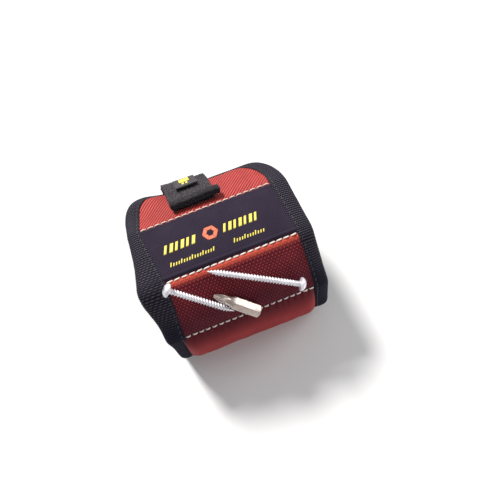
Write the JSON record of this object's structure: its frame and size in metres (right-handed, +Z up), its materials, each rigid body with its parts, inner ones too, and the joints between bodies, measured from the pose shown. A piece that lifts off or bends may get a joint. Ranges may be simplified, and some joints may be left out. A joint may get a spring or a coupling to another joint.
{
  "type": "magnetic wristband",
  "caption": "Padded magnetic wristband with folding panels and a hook-and-loop strap, holding screws and a driver bit.",
  "frame": {"origin": "centre of the flat underside that the closed band rests on", "axes": "+X along the wrist, -Y towards the front roll, +Z up through the label panel"},
  "size_m": [0.09, 0.0997, 0.0653],
  "materials": {
    "cover_fabric": "coarse red plain weave",
    "edge_tape": "black ribbed tape",
    "foam": "soft closed-cell foam",
    "mesh_lining": "black spacer mesh",
    "tray": "matt moulded tray",
    "magnet": "dark ferrite block",
    "label_patch": "fine black woven patch with a yellow print",
    "strap_pile": "black brushed loop pile",
    "webbing": "black webbing",
    "hook_tape": "black hook tape",
    "pull_tag": "ribbed woven tag",
    "zinc_screw": "bright zinc plating",
    "bit_steel": "satin tool steel",
    "stitching": "cream sewing thread",
    "label_print": "yellow and orange screen print"
  },
  "bodies": {
    "underside": {"underside_cover": "cover_fabric", "underside_foam": "foam", "underside_lining": "mesh_lining", "underside_tape_left": "edge_tape", "underside_tape_right": "edge_tape", "front_roll_cover": "cover_fabric", "front_roll_foam": "foam", "near_end_tape": "edge_tape", "strap_anchor": "strap_pile"},
    "magnet_panel": {"magnet_panel_cover": "cover_fabric", "magnet_panel_tray": "tray", "magnet_panel_magnets": "magnet", "magnet_panel_foam": "foam", "magnet_panel_lining": "mesh_lining", "magnet_panel_tape_left": "edge_tape", "magnet_panel_tape_right": "edge_tape"},
    "label_panel": {"label_panel_cover": "cover_fabric", "label_panel_tray": "tray", "label_panel_magnets": "magnet", "label_panel_foam": "foam", "label_panel_lining": "mesh_lining", "label_panel_tape_left": "edge_tape", "label_panel_tape_right": "edge_tape", "label_patch": "label_patch"},
    "far_panel": {"far_panel_cover": "cover_fabric", "far_panel_foam": "foam", "far_panel_lining": "mesh_lining", "far_end_tape": "edge_tape", "loop_patch": "strap_pile"},
    "strap": {"strap_webbing": "webbing", "strap_pile": "strap_pile"},
    "strap_tip": {"strap_tip_webbing": "webbing", "strap_tip_pile": "strap_pile", "hook_tape": "hook_tape", "strap_end_hem": "strap_pile", "pull_tag": "pull_tag"},
    "screw_long": {"screw_long": "zinc_screw"},
    "screw_short": {"screw_short": "zinc_screw"},
    "driver_bit": {"driver_bit": "bit_steel"}
  },
  "joints": [
    {"name": "strap_swing", "type": "hinge", "parent": "underside", "child": "strap", "pos_m": [0, 0.05006, 0.01264], "axis": [-1, 0, 0], "range_deg": [0, 88]},
    {"name": "tip_peel", "type": "hinge", "parent": "strap", "child": "strap_tip", "pos_m": [0, 0.05157, 0.04364], "axis": [-1, 0, 0], "range_deg": [0, 58]},
    {"name": "near_fold", "type": "hinge", "parent": "underside", "child": "magnet_panel", "pos_m": [0, -0.033, 0.03898], "axis": [1, 0, 0], "range_deg": [0, 9]},
    {"name": "middle_fold", "type": "hinge", "parent": "magnet_panel", "child": "label_panel", "pos_m": [0, -0.00941, 0.06], "axis": [1, 0, 0], "range_deg": [0, 11]},
    {"name": "far_fold", "type": "hinge", "parent": "label_panel", "child": "far_panel", "pos_m": [0, 0.02535, 0.0533], "axis": [1, 0, 0], "range_deg": [0, 15]},
    {"name": "long_screw_lift", "type": "slide", "parent": "magnet_panel", "child": "screw_long", "axis": [0, -0.6652, 0.7466], "range_m": [0, 0.04]},
    {"name": "short_screw_lift", "type": "slide", "parent": "magnet_panel", "child": "screw_short", "axis": [0, -0.6652, 0.7466], "range_m": [0, 0.04]},
    {"name": "bit_lift", "type": "slide", "parent": "magnet_panel", "child": "driver_bit", "axis": [0, -0.6652, 0.7466], "range_m": [0, 0.04]}
  ],
  "couplings": [
    {"joint": "near_fold", "follows": "strap_swing", "ratio": 0.1},
    {"joint": "middle_fold", "follows": "strap_swing", "ratio": 0.12},
    {"joint": "far_fold", "follows": "strap_swing", "ratio": 0.16}
  ]
}
